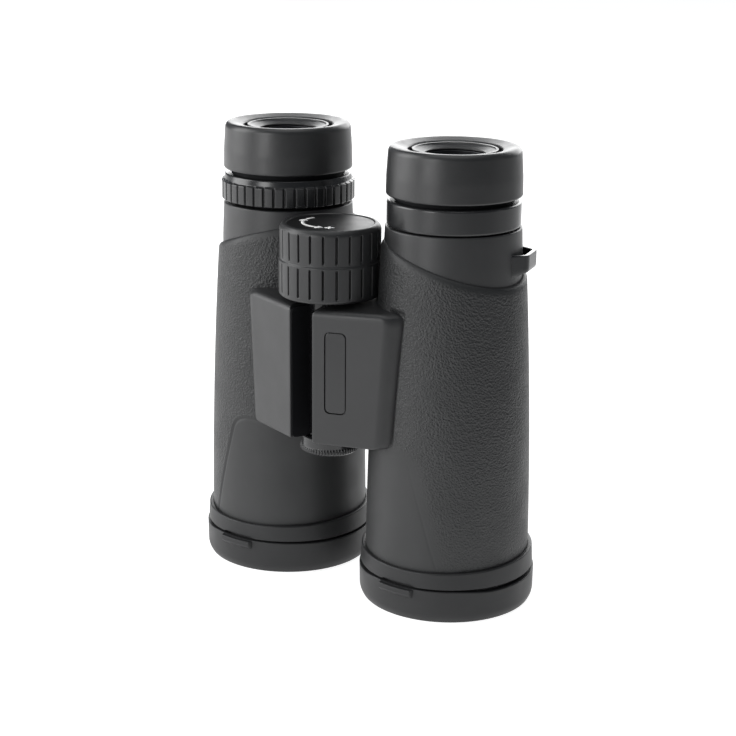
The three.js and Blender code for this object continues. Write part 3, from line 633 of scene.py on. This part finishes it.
def objective_lid(side):
    """The flip-down lid: a cup with a rounded foot, a pull tab in front and a knuckle at the back."""
    axis = AXES[side]
    cad = spot(f"{side}_objective_lid")
    pin = spot(f"{side}_lid_pin")
    radius, top, wall, floor = 27.9, 10.5, 1.5, 2.2
    hollow = 0.35  # the underside stands clear of the table inside a flat rim
    outline = dense(rounded([
        (0.05, hollow), (23.5, hollow, 0.3), (24.2, cad.low, 0.3), (26.8, cad.low, 0.5),
        (radius - 0.1, 2.0, 1.4), (radius, top, 0.35), (radius - wall, top, 0.3),
        (radius - wall, floor, 0.8), (0.05, floor),
    ], closed=False), 0.9, closed=False)

    left_depth, right_depth = 0.55, 0.8 if side == "left" else 0.3

    def form(angle, r, z):
        """Lets the lid's rim dip a little at both sides, which shows the dark gap under the ring."""
        turn = front_turn(angle)
        left_dip = smooth_step(-turn, 0.3, 0.6) * (1 - smooth_step(-turn, 1.3, 2.0))
        right_dip = smooth_step(turn, 0.7, 1.2) * (1 - smooth_step(turn, 1.9, 2.7))
        depth = left_depth * left_dip + right_depth * right_dip
        return r, z - depth * smooth_step(z, top - 2, top)

    cup = lathe("cup", outline, axis, 256, form, closed=False)
    tab_low, tab_high, tab_root, tab_reach = 7.9, 10.4, 27.2, 29.3
    tab_outline = dense(rounded([
        (tab_root, tab_low - 0.6), (27.9, tab_low - 0.5, 0.3), (tab_reach, tab_low + 0.8, 0.5),
        (tab_reach, tab_high, 0.45), (tab_root, tab_high),
    ]), 0.3)
    columns = 48
    turns = np.linspace(-TAB_HALF_TURN, TAB_HALF_TURN, columns) - math.pi / 2
    ends = 1 - smooth_step(np.abs(turns + math.pi / 2), TAB_HALF_TURN * 0.88, TAB_HALF_TURN)
    r = np.array([p[0] for p in tab_outline])[None, :]
    r = tab_root + (r - tab_root) * (0.25 + 0.75 * ends[:, None])
    z = np.array([p[1] for p in tab_outline])[None, :] + np.zeros_like(r)
    cos, sin = np.cos(turns)[:, None], np.sin(turns)[:, None]
    tab = grid_mesh("tab", axis.x + r * cos, axis.y + r * sin, z, False)
    tab.data.flip_normals()
    knuckle = hinge_ears(axis, pin.y, (pin.low + pin.high) / 2, (LID_EAR,), EAR_RADIUS)
    low, high = LID_EAR
    web = rounded_block("web", (axis.x + low, axis.y + 26.9, 8.3), (axis.x + high, pin.y + 0.5, 10.4), 0.3)
    lid = joined(f"{side}_lid_cup", [cup, tab, web] + knuckle)
    place(crisp(lid), f"{side}_objective_lid")


def lens(side, node, outline):
    """A lens, from the half section of its glass."""
    outline = dense(rounded(outline, closed=False), 0.8, closed=False)
    place(crisp(solid_lathe(f"{side}_{node}_glass", outline, AXES[side], sides=96)), f"{side}_{node}")


def objective(side):
    """The objective lens and the ring that holds it."""
    axis = AXES[side]
    ring = spot(f"{side}_objective_ring")
    glass = spot(f"{side}_objective_lens")
    arc = [(r, glass.low + 3.0 * (r / glass.radius) ** 2) for r in np.linspace(0.05, glass.radius, 14)]
    lens(side, "objective_lens", arc + [(glass.radius, glass.high - 1.5), (0.05, glass.high)])
    outline = rounded([(19.4, ring.low, 0.2), (ring.radius, ring.low, 0.2), (ring.radius, ring.high),
                       (18.6, ring.high), (18.6, ring.low + 0.4, 0.3)])
    retainer = lathe(f"{side}_objective_retainer", dense(outline, 1.5), axis, 128)
    place(crisp(retainer), f"{side}_objective_ring")


# ---- eyepieces ----

def eyecup(side):
    """Twist-up eyecup: a soft skirt, a rounded shoulder and a rim that dips towards the eye lens."""
    cad = spot(f"{side}_eyecup")
    lift = 0.8  # shows a dark gap under the skirt
    bottom, top, radius = cad.low + lift, cad.high, cad.radius
    bore, hole = 18.35, 14.3
    outline = dense(rounded([
        (bore, bottom), (radius - 0.3, bottom, 0.2), (radius, bottom + 0.4, 0.2), (radius - 0.1, bottom + 6),
        (radius - 0.6, top - 1.2, 0.9), (radius - 1.5, top - 0.1, 0.7), (radius - 2.8, top, 0.6),
        (hole + 0.4, top - 0.9, 0.3), (hole, top - 1.3, 0.2), (hole, top - 3.2), (bore, top - 3.2),
    ], steps=8), 0.7)
    cup = lathe(f"{side}_eyecup_skin", outline, AXES[side], 192)
    place(crisp(cup, 50), f"{side}_eyecup")


def eyecup_tube(side):
    """The black tube that the eyecup climbs, with a narrower foot in the housing; its finish is made extra
    dark and dull as painted shade for the slit under the eyecup.
    """
    cad = spot(f"{side}_eyecup_guide_tube")
    radius, bore, wall = cad.radius, 14.8, 1.1
    shoulder, seat = 120, 123
    outline = dense(rounded([
        (bore, cad.low), (radius - 2, cad.low), (radius - 2, shoulder - 0.6), (radius, shoulder, 0.2),
        (radius, cad.high, 0.3), (radius - wall, cad.high, 0.3), (radius - wall, seat), (bore, seat),
    ]), 1.5)
    tube = lathe(f"{side}_eyecup_tube", outline, AXES[side], 128)
    # the near-black, dull finish here is painted shade for the slit under the eyecup
    place(crisp(tube), f"{side}_eyecup_guide_tube", look="bore_black")


def ocular(side):
    """The ocular barrel with the conical ring and the eye lens at its top."""
    axis = AXES[side]
    barrel = spot(f"{side}_ocular_barrel")
    top = barrel.high
    outline = dense(rounded([
        (11, barrel.low), (13.8, barrel.low, 0.3), (13.8, 127, 0.3), (13.1, 127.2), (13.1, top, 0.2),
        (9.2, top, 0.2), (9.2, top - 3.2), (10.4, top - 3.2), (10.4, 121), (11, 121),
    ]), 1.5)
    place(crisp(lathe(f"{side}_ocular_tube", outline, axis, 128)), f"{side}_ocular_barrel")
    ring = spot(f"{side}_ocular_ring")
    cone = dense(rounded([
        (9.3, ring.low), (13.1, ring.low), (13.1, ring.high, 0.15), (12.3, ring.high, 0.12),
        (12.1, ring.high - 0.35, 0.1), (9.3, ring.low + 0.35, 0.2),
    ]), 0.5)
    place(crisp(lathe(f"{side}_ocular_cone", cone, axis, 160)), f"{side}_ocular_ring", look="soft_rubber")
    glass = spot(f"{side}_eye_lens")
    glass_radius, bulge = 9.9, 0.9
    dome = [(r, glass.high - bulge * (r / 10) ** 2) for r in np.linspace(glass_radius, 0.05, 14)]
    lens(side, "eye_lens", [(0.05, glass.low), (glass_radius, glass.low + 0.6)] + dome)


def eyepiece_collar():
    """The plain ring under the left eyecup."""
    cad = spot("left_eyepiece_collar")
    outline = dense(rounded([
        (18.4, cad.low), (cad.radius - 0.2, cad.low, 0.25), (cad.radius, cad.low + 0.5, 0.3),
        (cad.radius, cad.high - 0.5, 0.3), (cad.radius - 0.6, cad.high, 0.3), (18.4, cad.high),
    ]), 0.8)
    collar = lathe("left_collar", outline, AXES["left"], 160)
    place(crisp(collar), "left_eyepiece_collar")


def between(z, low, high, soft):
    """1 between two heights, fading out within soft millimetres of each."""
    return smooth_step(z, low, low + soft) * (1 - smooth_step(z, high - soft, high))


def off_pad(angle, count, fill, blend):
    """0 on evenly spaced pads that fill a share of the turn, 1 in the slots between them."""
    phase = np.abs(((angle * count / TURN) % 1) - 0.5) * 2
    return smooth_step(phase, fill, fill + blend)


def diopter_ring():
    """The ring that sets the dioptre: forty pads with fine grooves between them."""
    cad = spot("right_diopter_ring")
    foot, tip = cad.radius - 0.75, cad.radius
    outline = dense(rounded([
        (18.4, cad.low), (foot - 0.4, cad.low, 0.3), (foot, cad.low + 0.5, 0.3), (foot, cad.high - 2.2, 0.3),
        (cad.radius - 1.25, cad.high, 0.4), (18.4, cad.high),
    ]), 0.28)

    def form(angle, r, z):
        pad = (1 - off_pad(angle, 40, 0.74, 0.16)) * between(z, cad.low + 0.15, cad.high - 1.9, 0.5)
        return r + (tip - foot) * pad * (r > foot - 0.5), z

    ring = lathe("right_dioptre_dial", outline, AXES["right"], 800, form)
    place(ring, "right_diopter_ring")


# ---- bridge and hinge ----

FACE_START = (4.28, -14.6)  # a half's inner front corner, from the hinge axis
FACE_TURN = math.radians(18.7)
BACK_CORNER = (4.28, 10.5)
BRIDGE_LOW, BRIDGE_HIGH = 52.3, 94.8
TUBE_RADIUS = 8  # of the hinge tube
FACE_WIDTH_LOW, FACE_WIDTH_HIGH = 21.2, 24.1
TOP_CORNER, FOOT_CORNER = 3.2, 1.8  # radii of the face's outer corners
TOP_SLOPE = 0.055  # rise of the top towards the back
WALL_SLOPE = 1.6  # how far the outer wall spreads for each millimetre that it runs back
PLATE_LENGTH, PLATE_WIDTH = 25.4, 6.5  # the inlay
PLATE_ALONG, PLATE_HEIGHT = 7.5, 75.6  # and its middle
FOLD_TURN = math.radians(15)  # each half's share of the turn that brings the barrels closest


def face_width(height):
    """How far a bridge half's flat face reaches from its inner edge at a height."""
    share = (height - BRIDGE_LOW) / (BRIDGE_HIGH - BRIDGE_LOW)
    return FACE_WIDTH_LOW + (FACE_WIDTH_HIGH - FACE_WIDTH_LOW) * share


def on_face(along, depth):
    """The hinge-centred point that lies along a bridge half's front face, depth behind it."""
    cos, sin = math.cos(FACE_TURN), math.sin(FACE_TURN)
    return FACE_START[0] + along * cos - depth * sin, FACE_START[1] + along * sin + depth * cos


def corner_cut(distance, radius):
    """How much a rounded corner takes off at a distance from the corner's end."""
    share = np.clip(1 - distance / radius, 0, 1)
    return radius * (1 - math.sqrt(1 - share ** 2))


def bridge_section(height, inset):
    """A horizontal section of a bridge half, drawn in by inset all round.

    Its outer side follows the barrel that it grows out of.
    """
    width = face_width(height) - inset * 0.6
    width -= corner_cut(BRIDGE_HIGH - height, TOP_CORNER) + corner_cut(height - BRIDGE_LOW, FOOT_CORNER)
    wall_depth = 4.5
    outline = rounded([
        (*on_face(inset, inset), 0.5), (*on_face(width, inset), 1.4),
        (*on_face(width + wall_depth * WALL_SLOPE, inset + wall_depth), 0.5),
        (BACK_CORNER[0] + 14, BACK_CORNER[1] + 1 - inset, 0.5),
        (BACK_CORNER[0] + inset, BACK_CORNER[1] - inset, 1.5),
    ], steps=8)
    axis = np.array([AXES["left"].x - HINGE.x, AXES["left"].y - HINGE.y])
    seat_radius = 21.0  # inside the barrel's wall
    section = []
    for point in even(outline + outline[:1], 301)[:-1]:
        away = point - axis
        section.append(tuple(axis + away * max(1, seat_radius / np.linalg.norm(away))))
    return section


def edge_profile(low, high, low_radius, high_radius, steps=6):
    """Heights and insets of a block whose lower and upper edges are rounded."""
    turns = np.linspace(0, math.pi / 2, steps)
    below = [(low + low_radius * (1 - math.sin(t)), low_radius * (1 - math.cos(t))) for t in turns[::-1]]
    above = [(high - high_radius * (1 - math.sin(t)), high_radius * (1 - math.cos(t))) for t in turns]
    middle = [(z, 0) for z in np.linspace(low + low_radius, high - high_radius, 60)[1:-1]]
    return below + middle + above


def mirrored(side, outline):
    """Places a hinge-centred outline of the left half, or its mirror image for the right half."""
    if side == "left":
        return [(HINGE.x + x, HINGE.y + y) for x, y in outline]
    return [(HINGE.x - x, HINGE.y + y) for x, y in outline[::-1]]


def rod_cutter(radius, low, high):
    """A rod about the hinge axis, to cut with."""
    return solid_lathe("cutter", [(0, low), (radius, low), (radius, high), (0, high)], HINGE, sides=96)


def plate_outline(length, width, corner):
    """A rounded rectangle across the face and up, centred on (0, 0)."""
    half_width, half_length = width / 2, length / 2
    return rounded([(-half_width, -half_length, corner), (half_width, -half_length, corner),
                    (half_width, half_length, corner), (-half_width, half_length, corner)], steps=10)


def face_plate(name, grow, front, back):
    """The inlay's plate, or with some growth its pocket, between two depths behind the left half's face."""
    outline = plate_outline(PLATE_LENGTH + 2 * grow, PLATE_WIDTH + 2 * grow, 1.7 + grow)
    soft = 0.15 if grow == 0 else 0
    layers = [(back, 0), (front + soft, 0), (front, soft)]
    rows = []
    for depth, inset in layers:
        narrow = 1 - inset / (PLATE_WIDTH / 2)
        shorten = 1 - inset / (PLATE_LENGTH / 2)
        rows.append([(*on_face(PLATE_ALONG + u * narrow, depth), PLATE_HEIGHT + v * shorten)
                     for u, v in outline])
    rows = np.array(rows)
    return grid_mesh(name, HINGE.x + rows[:, :, 0], HINGE.y + rows[:, :, 1], rows[:, :, 2], False)


def bridge_half(side):
    """Half of the bridge, hollowed for the hinge tube; the left half also gets the inlay's pocket."""
    sections = [(mirrored(side, bridge_section(z, inset)), z)
                for z, inset in edge_profile(BRIDGE_LOW, BRIDGE_HIGH, 0.9, 1.7)]
    half = prism_mesh(f"{side}_bridge_shell", sections)
    for vertex in half.data.vertices:
        if vertex.co.z > (BRIDGE_HIGH - 2) * MM:
            vertex.co.z += TOP_SLOPE * (vertex.co.y - (HINGE.y + FACE_START[1]) * MM)
    carve(half, rod_cutter(TUBE_RADIUS + 0.25, BRIDGE_LOW - 1, BRIDGE_HIGH + 1))
    if side == "left":
        carve(half, face_plate("cutter", 0.28, -1, 0.9))
    place(crisp(half), f"{side}_bridge")


def bridge_cheek(side):
    """The black wall that a bridge half turns towards the gap, sloped so that the halves can fold; its
    finish is made extra dark and dull as painted shade for the gap between the halves.
    """
    outer = FACE_START[0] + 0.2
    front, back = FACE_START[1] + 0.5, -7.0
    low, high = BRIDGE_LOW + 0.1, BRIDGE_HIGH - 0.6
    clearance = 0.12
    outline = rounded([
        (front, low, 2.2), (back, low, 0.3), (back, high, 0.3), (front, high, 1.6),
    ], steps=8)
    rows = np.array([[(outer, y, z) for y, z in outline],
                     [(clearance - y * math.tan(FOLD_TURN), y, z) for y, z in outline]])
    sign = SIDES[side]
    cheek = grid_mesh(f"{side}_bridge_cheek", HINGE.x + sign * rows[:, :, 0], HINGE.y + rows[:, :, 1],
                      rows[:, :, 2], False)
    if sign < 0:
        cheek.data.flip_normals()
    # the near-black, dull finish here is painted shade for the gap between the halves
    place(crisp(cheek), f"{side}_bridge", look="bore_black", stands_for=())


def hinge_tube():
    """The tube that fills the gap between the halves and reaches up to the focus knob."""
    knob_foot = spot("focus_knob_grip").low
    outline = dense(rounded([
        (4.9, BRIDGE_LOW), (5.9, BRIDGE_LOW, 0.2), (TUBE_RADIUS, BRIDGE_LOW + 0.1, 0.3),
        (TUBE_RADIUS, knob_foot - 0.4, 0.3), (4.9, knob_foot - 0.3),
    ]), 3)
    place(crisp(lathe("hinge_barrel", outline, HINGE, 128)), "hinge_tube")


def bridge_inlay():
    """The plate set into the left half's face."""
    place(crisp(face_plate("left_inlay_plate", 0, 0.04, 0.85)), "left_bridge_inlay")


def tripod_cap():
    """The serrated screw cap under the hinge."""
    cad = spot("tripod_cap")
    foot = cad.radius - 0.45
    outline = dense(rounded([
        (0, cad.low), (cad.radius - 1.6, cad.low, 0.6), (foot, cad.low + 0.9, 0.5),
        (foot, cad.high - 0.5, 0.3), (foot - 0.5, cad.high, 0.3), (0, cad.high),
    ], closed=False), 0.3, closed=False)

    def form(angle, r, z):
        pad = (1 - off_pad(angle, 60, 0.45, 0.16)) * between(z, cad.low + 0.7, cad.low + 2.6, 0.5)
        return r + (cad.radius - foot) * pad * (r > foot - 0.4), z

    place(solid_lathe("tripod_screw_cap", outline, HINGE, sides=720, form=form), "tripod_cap")


# ---- focus knob ----

def knob_grip():
    """The rubber sleeve: two rows of wide pads with narrow grooves, and a thin ridge between the rows."""
    cad = spot("focus_knob_grip")
    tip = cad.radius
    ledge = 108.25
    slot_depth = 1.0
    outline = dense(rounded([
        (14.2, cad.low), (tip - 0.6, cad.low, 0.25), (tip, cad.low + 0.7, 0.3), (tip, ledge - 0.25, 0.2),
        (tip - 0.35, ledge + 0.15, 0.2), (tip - 0.25, cad.high - 1.3, 0.9), (tip - 1.2, cad.high - 0.1, 0.7),
        (13.9, cad.high, 0.2), (13.5, cad.high - 0.35, 0.1), (13.5, cad.high - 2.2), (14.2, cad.high - 2.4),
    ], steps=8), 0.2)

    def form(angle, r, z):
        rows = between(z, 98.2, 107.6, 0.6) + between(z, 109.0, 118.0, 0.9)
        outside = (r > tip - 1.4) & (z > cad.low + 0.3)
        return r - slot_depth * outside * off_pad(angle, 24, 0.80, 0.14) * rows, z

    place(lathe("focus_sleeve", outline, HINGE, 960, form), "focus_knob_grip", look="grip_rubber")


def knob_cap():
    """The knob's inset top disc."""
    cad = spot("focus_knob_cap")
    radius = cad.radius
    outline = dense(rounded([
        (0, cad.low), (radius + 0.35, cad.low), (radius + 0.35, cad.high + 0.25, 0.3), (0, cad.high + 0.35),
    ], closed=False), 0.6, closed=False)
    disc = solid_lathe("focus_cap_disc", outline, HINGE, sides=160)
    place(crisp(disc), "focus_knob_cap", look="cap_plastic")


def flat_mark(outline, low, high):
    """A thin printed mark on the knob's top, from a hinge-centred outline."""
    placed = [(HINGE.x + x, HINGE.y + y) for x, y in outline]
    return prism_mesh("mark", [(placed, low), (placed, high)])


def arc_band(radius, width, start, stop, steps=40):
    """The outline of an arc about the hinge axis; angles in degrees."""
    turns = np.radians(np.linspace(start, stop, steps))
    outer = [((radius + width / 2) * math.cos(t), (radius + width / 2) * math.sin(t)) for t in turns]
    inner = [((radius - width / 2) * math.cos(t), (radius - width / 2) * math.sin(t)) for t in turns[::-1]]
    return outer + inner


def arrow_head(radius, degrees, size, forward):
    """A triangle at an angle on an arc, pointing along it."""
    t = math.radians(degrees)
    out = np.array([math.cos(t), math.sin(t)])
    along = np.array([-math.sin(t), math.cos(t)]) * forward
    tip = out * radius + along * size
    corners = [tip, out * (radius + size * 0.55), out * (radius - size * 0.55)]
    return [tuple(c) for c in (corners if forward > 0 else corners[::-1])]


def knob_marks():
    """Generic turning marks: an arc with an arrow at each end, a plus and a minus."""
    low = spot("focus_knob_cap").high + 0.2
    high = low + 0.2
    radius, middle_turn, half_arc, sign_turn = 8.6, -120, 38, 66
    start, stop = middle_turn - half_arc, middle_turn + half_arc
    marks = [
        flat_mark(arc_band(radius, 0.9, start, stop), low, high),
        flat_mark(arrow_head(radius, stop, 2.6, 1), low, high),
        flat_mark(arrow_head(radius, start, 2.6, -1), low, high),
    ]
    bar_half_length, bar_half_width = 1.5, 0.38
    plus, minus = (0, 90), (0,)
    for turn, bars in ((middle_turn + sign_turn, plus), (middle_turn - sign_turn, minus)):
        t = math.radians(turn)
        middle = np.array([math.cos(t), math.sin(t)]) * radius
        for spin in bars:
            angle = t + math.radians(spin + 90)
            along = np.array([math.cos(angle), math.sin(angle)]) * bar_half_length
            across = np.array([-math.sin(angle), math.cos(angle)]) * bar_half_width
            corners = [middle + along * a + across * b for a, b in ((-1, -1), (1, -1), (1, 1), (-1, 1))]
            lift = 0 if spin == 0 else 0.01  # keeps the tops of crossing bars apart
            marks.append(flat_mark(corners, low, high + lift))
    place(joined("focus_marks", marks), "focus_knob_cap", look="mark", stands_for=())


# ---- strap lugs ----

LUG_TURN = math.radians(16)  # from the barrel's outer side towards the back
LUG_MIDDLE = 1.7  # the loop's middle, along the neck from the lug's own direction


def bar_path(foot, reach, half_bar, half_foot, corner):
    """A strap loop's line from foot to foot, as (outward, across) points with rounded corners."""
    return dense(rounded([
        (foot, LUG_MIDDLE - half_foot), (reach, LUG_MIDDLE - half_bar, corner),
        (reach, LUG_MIDDLE + half_bar, corner), (foot, LUG_MIDDLE + half_foot),
    ], closed=False, steps=8), 0.4, closed=False)


def strap_lug(side):
    """A strap loop: a bar on two legs that spread towards the neck, turned a little to the back."""
    axis, sign = AXES[side], SIDES[side]
    cad = spot(f"{side}_strap_lug")
    foot, reach, band = 19.2, 24.8, 1.35
    count = 60
    outer = even(bar_path(foot, reach, half_bar=5.1, half_foot=8.4, corner=1.4), count)
    inner = even(bar_path(foot, reach - band, half_bar=4.4, half_foot=7.0, corner=0.9), count)
    bar_bottom, foot_bottom, top = cad.high - 5.2, cad.high - 7.0, cad.high
    bottom = bar_bottom - (bar_bottom - foot_bottom) * (reach - outer[:, 0]) / (reach - 20.5)
    section = rounded([(0, 0, 0.3), (1, 0, 0.3), (1, 1, 0.1), (0, 1, 0.1)], steps=5)
    across = np.array([p[0] for p in section])[None, :, None]
    up = np.array([p[1] for p in section])[None, :]
    line = outer[:, None, :] * (1 - across) + inner[:, None, :] * across
    cos, sin = math.cos(LUG_TURN), math.sin(LUG_TURN)
    x = axis.x + sign * (line[:, :, 0] * cos - line[:, :, 1] * sin)
    y = axis.y + line[:, :, 0] * sin + line[:, :, 1] * cos
    z = bottom[:, None] + (top - bottom[:, None]) * up
    loop = grid_mesh(f"{side}_strap_loop", x, y, z, False)
    if sign < 0:
        loop.data.flip_normals()
    place(crisp(loop), f"{side}_strap_lug", look="collar_plastic")


# ---- the pieces ----

for side in SIDES:
    barrel_housing(side)
    rubber_armor(side)
    cover_ring(side)
    objective_lid(side)
    objective(side)
    eyecup_tube(side)
    ocular(side)
    eyecup(side)
    bridge_half(side)
    bridge_cheek(side)
    strap_lug(side)
eyepiece_collar()
diopter_ring()
hinge_tube()
bridge_inlay()
tripod_cap()
knob_grip()
knob_cap()
knob_marks()

for name, node in frame["nodes"].items():
    node.data.materials.clear()
    node.data.materials.append(MATERIALS[SLOT_OF[name]])


# ---- floor, light and camera ----

def floor():
    """A plain pale table that glows near the object and fades out to the right and towards the viewer."""
    bpy.ops.mesh.primitive_plane_add(size=40, location=(0, 0, 0))
    plane = bpy.context.object
    plane.name = "floor"
    grey, white = (0.5, 0.5, 0.5), (1, 1, 1, 1)
    shader = Shader("floor_white", grey, 0.8, Specular_IOR_Level=0.0, Emission_Color=white)
    rightwards = shader.along((0.908, 0.418, 0))
    forwards = shader.along((0.598, -0.802, 0))
    fade_right = shader.ramp(rightwards, 0.14, 0.40, 1, 0.3, "SMOOTHSTEP")
    fade_forwards = shader.ramp(forwards, 0.12, 0.38, 1, 0.35, "SMOOTHSTEP")
    glow = shader.math("MULTIPLY", fade_right, fade_forwards)
    full_glow = 0.9
    shader.links.new(shader.math("MULTIPLY", glow, full_glow), shader.bsdf.inputs["Emission Strength"])
    plane.data.materials.append(shader.material)


def softbox(name, azimuth, elevation, distance, width, height, radiance):
    """A rectangular light that faces the object. Azimuth 0 is the front, 90 the left barrel's side."""
    aim = Vector((0, 0, 75)) * MM
    a, e = math.radians(azimuth), math.radians(elevation)
    outward = Vector((math.sin(a) * math.cos(e), -math.cos(a) * math.cos(e), math.sin(e)))
    lamp = bpy.data.lights.new(name, "AREA")
    lamp.shape = "RECTANGLE"
    lamp.size, lamp.size_y = width, height
    lamp.energy = radiance * math.pi * width * height
    light = bpy.data.objects.new(name, lamp)
    light.location = aim + outward * distance
    light.rotation_euler = (-outward).to_track_quat("-Z", "Y").to_euler()
    bpy.context.collection.objects.link(light)


def studio_light():
    """Soft boxes round the object and a faint cool surrounding."""
    world = bpy.data.worlds.new("studio")
    bpy.context.scene.world = world
    world.use_nodes = True
    world.node_tree.nodes["Background"].inputs["Color"].default_value = (0.82, 0.91, 1, 1)
    world.node_tree.nodes["Background"].inputs["Strength"].default_value = 0.14
    softbox("key", -58, 22, distance=1.6, width=1.1, height=1.3, radiance=4.8)
    softbox("front", -6, 11, distance=1.5, width=0.5, height=0.8, radiance=6.0)
    softbox("overhead", 0, 88, distance=1.8, width=1.6, height=1.6, radiance=1.5)
    softbox("back", 200, 18, distance=2.2, width=2.6, height=1.3, radiance=4.2)
    softbox("fill", 118, 15, distance=1.8, width=0.4, height=1.3, radiance=0.5)
    bpy.context.scene.view_settings.view_transform = "Standard"


def camera():
    """The photograph's view: from the front and the left barrel's side, a little above."""
    yaw, dip, roll = (math.radians(degrees) for degrees in (36.7, 16.18, -0.48))
    ahead = Vector((-math.sin(yaw) * math.cos(dip), math.cos(yaw) * math.cos(dip), -math.sin(dip)))
    right = Vector((math.cos(yaw), math.sin(yaw), 0))
    down = ahead.cross(right)
    across = right * math.cos(roll) + down * math.sin(roll)
    upward = -(down * math.cos(roll) - right * math.sin(roll))
    lens_data = bpy.data.cameras.new("camera")
    lens_data.lens = 84.72
    lens_data.sensor_width = 36
    eye = bpy.data.objects.new("camera", lens_data)
    place_in_room = Vector((321.53, -428.64, 224.27)) * MM
    turn = Matrix((across, upward, -ahead)).transposed().to_4x4()
    eye.matrix_world = Matrix.Translation(place_in_room) @ turn
    bpy.context.collection.objects.link(eye)
    bpy.context.scene.camera = eye


floor()
studio_light()
camera()
